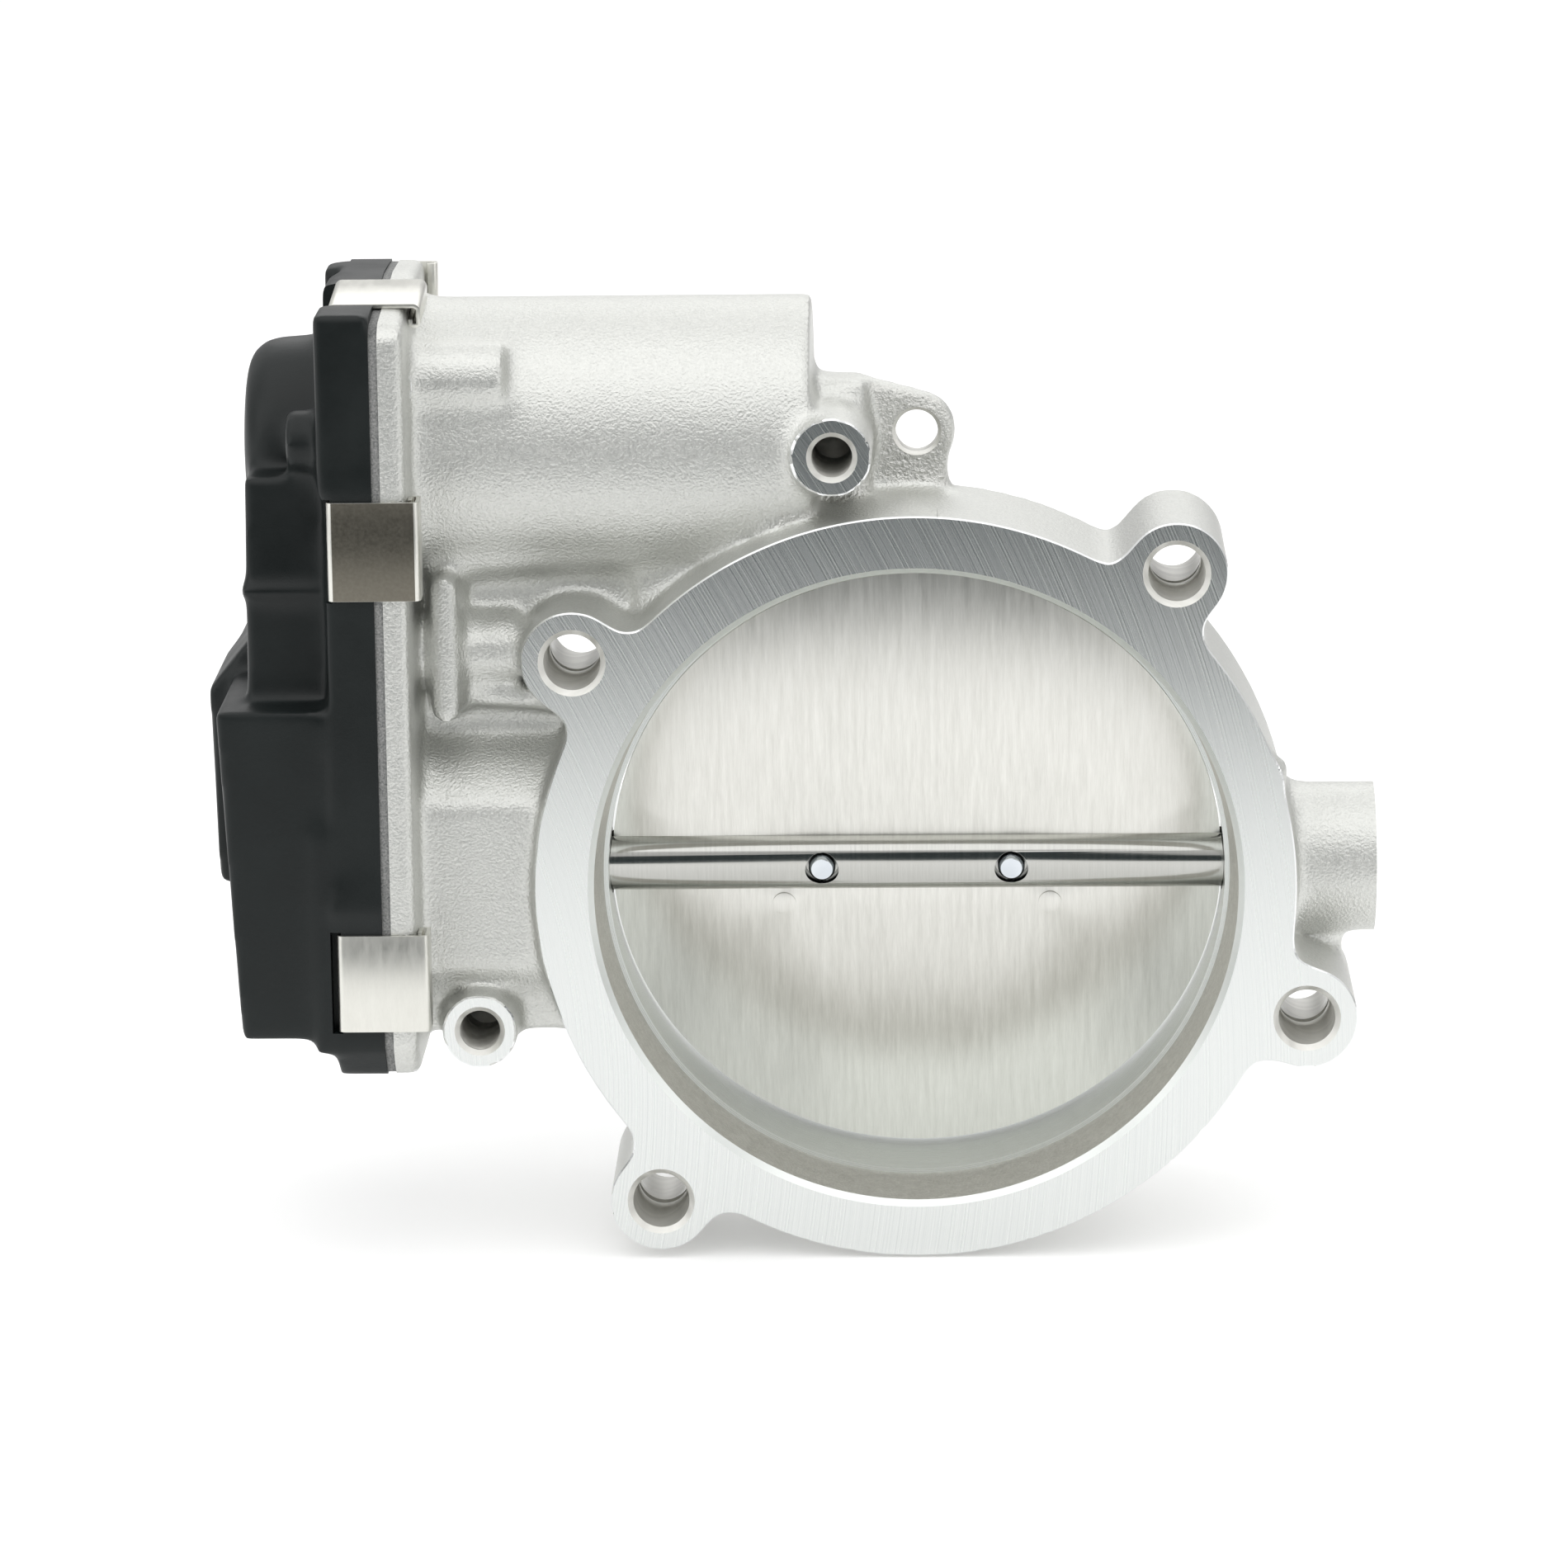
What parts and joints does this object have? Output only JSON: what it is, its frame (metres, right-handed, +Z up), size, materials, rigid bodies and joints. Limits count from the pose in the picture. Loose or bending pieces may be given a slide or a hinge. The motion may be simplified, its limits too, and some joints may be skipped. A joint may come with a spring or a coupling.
{
  "type": "electronic throttle body",
  "caption": "Electronic throttle body: cast flanged housing with a butterfly valve, side-mounted motor, gear train and clipped plastic cover.",
  "frame": {"origin": "centre of the bore on the manifold face", "axes": "+X along the throttle shaft towards its closed end, +Y along the bore towards the air inlet, +Z up"},
  "size_m": [0.1749, 0.0693, 0.1448],
  "materials": {
    "cast_aluminium": "rough die-cast skin with machined faces",
    "black_plastic": "fine moulded texture",
    "gasket": "speckled grey sealing strip",
    "spring_steel": "bright rolled strip",
    "plate_metal": "brushed along the bore's height",
    "ground_steel": "ground and polished",
    "zinc_steel": "zinc plated",
    "bearing_steel": "hardened and ground",
    "seal_rubber": "matte",
    "gear_plastic": "glass-filled nylon",
    "natural_plastic": "natural nylon",
    "sintered_steel": "sintered",
    "magnet": "sintered ferrite",
    "copper": "bare copper",
    "lamination": "stacked sheet",
    "circuit_board": "solder mask",
    "chip": "moulded epoxy",
    "tin_plated": "tin plated",
    "bushing": "sintered bronze"
  },
  "bodies": {
    "housing": {"throttle_housing": "cast_aluminium", "drive_bearing": "bearing_steel", "end_bearing": "bearing_steel", "shaft_seal": "seal_rubber", "end_plug": "zinc_steel", "spring_sleeve": "natural_plastic", "intermediate_pin": "ground_steel", "motor_can": "zinc_steel", "motor_magnets": "magnet", "motor_end_cap": "zinc_steel", "motor_bushings": "bushing", "motor_screws": "zinc_steel", "wave_washer": "spring_steel", "cover_gasket": "gasket", "gear_cover": "black_plastic", "cover_clips": "spring_steel", "sensor_board": "circuit_board", "sensor_chip": "chip", "connector_pins": "tin_plated", "motor_terminals": "tin_plated"},
    "throttle": {"throttle_shaft": "ground_steel", "throttle_plate": "plate_metal", "plate_screws": "zinc_steel", "sector_gear": "gear_plastic", "sector_insert": "zinc_steel", "sensor_magnets": "magnet", "return_spring": "spring_steel"},
    "intermediate": {"intermediate_gear": "natural_plastic"},
    "rotor": {"motor_shaft": "ground_steel", "armature": "lamination", "windings": "copper", "commutator": "copper", "motor_pinion": "sintered_steel"}
  },
  "joints": [
    {"name": "throttle_hinge", "type": "hinge", "parent": "housing", "child": "throttle", "pos_m": [0, 0.0208, 0], "axis": [1, 0, 0], "range_deg": [-3, 81], "stiffness_Nm_per_rad": 0.12},
    {"name": "intermediate_spin", "type": "hinge", "parent": "housing", "child": "intermediate", "pos_m": [-0.085, 0.0216, 0.03299], "axis": [1, 0, 0], "range_deg": [-163, 7]},
    {"name": "motor_spin", "type": "hinge", "parent": "housing", "child": "rotor", "pos_m": [-0.045, 0.0245, 0.06406], "axis": [1, 0, 0], "range_deg": [-17, 441]}
  ],
  "couplings": [
    {"joint": "intermediate_spin", "follows": "throttle_hinge", "ratio": -2},
    {"joint": "motor_spin", "follows": "throttle_hinge", "ratio": 5.4286}
  ]
}
